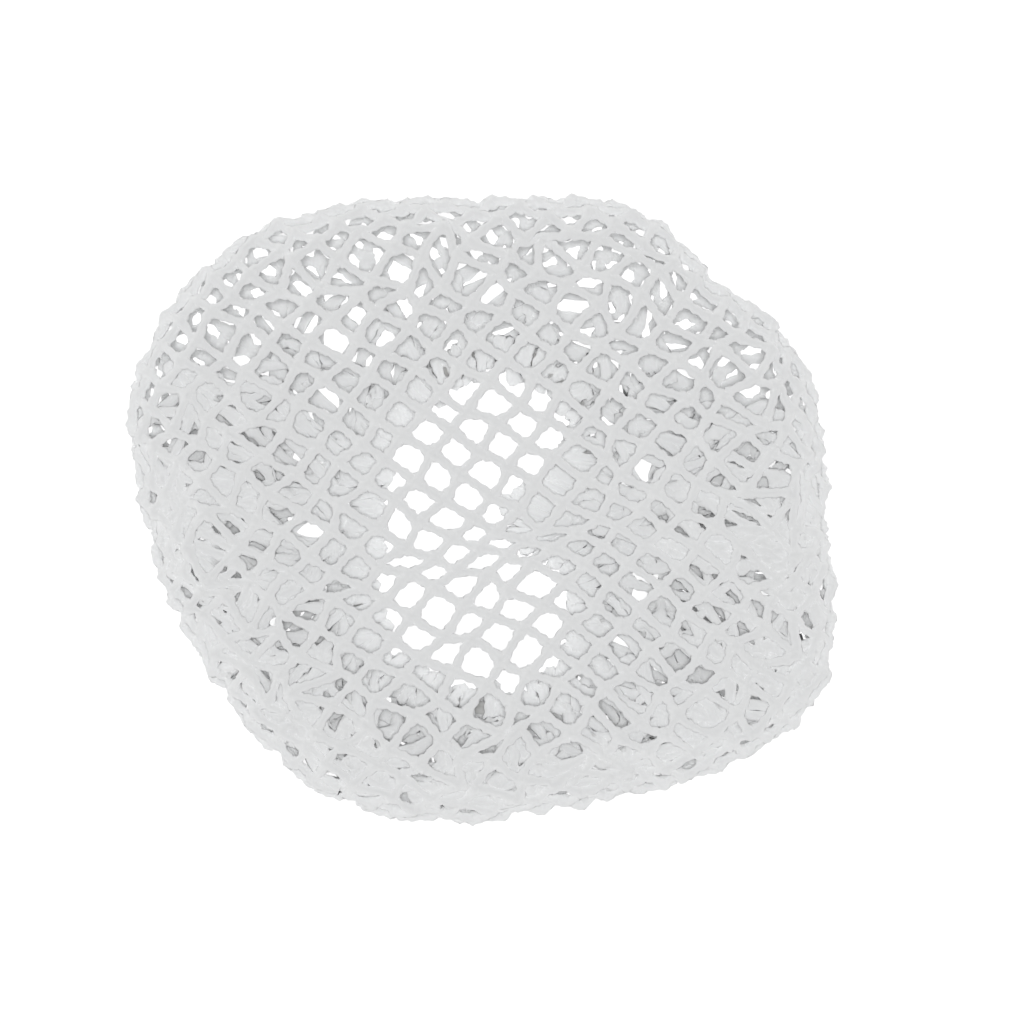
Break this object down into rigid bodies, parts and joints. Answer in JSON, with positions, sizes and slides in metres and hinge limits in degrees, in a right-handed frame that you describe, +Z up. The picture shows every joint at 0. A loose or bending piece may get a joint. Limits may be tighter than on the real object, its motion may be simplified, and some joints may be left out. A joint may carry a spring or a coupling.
{
  "type": "bun hairnet",
  "caption": "Coarse white knotted net pouch drawn together over a hidden elastic, for covering a hair bun, lying mouth down with its edge rolled under.",
  "frame": {"origin": "on the surface the net lies on, under the middle of its outline", "axes": "+Z up, out of the crown, with the mouth facing down; +X along the longest way across the outline; +Y across it, with the mouth's longer way along Y"},
  "size_m": [0.1054, 0.0933, 0.016],
  "materials": {
    "cotton_net": "matte soft twisted cotton yarn, knotted, slightly fuzzy",
    "elastic": "matte braided cover over a rubber core"
  },
  "bodies": {
    "root": {"net_pouch": "cotton_net", "mouth_elastic": "elastic"}
  },
  "joints": []
}
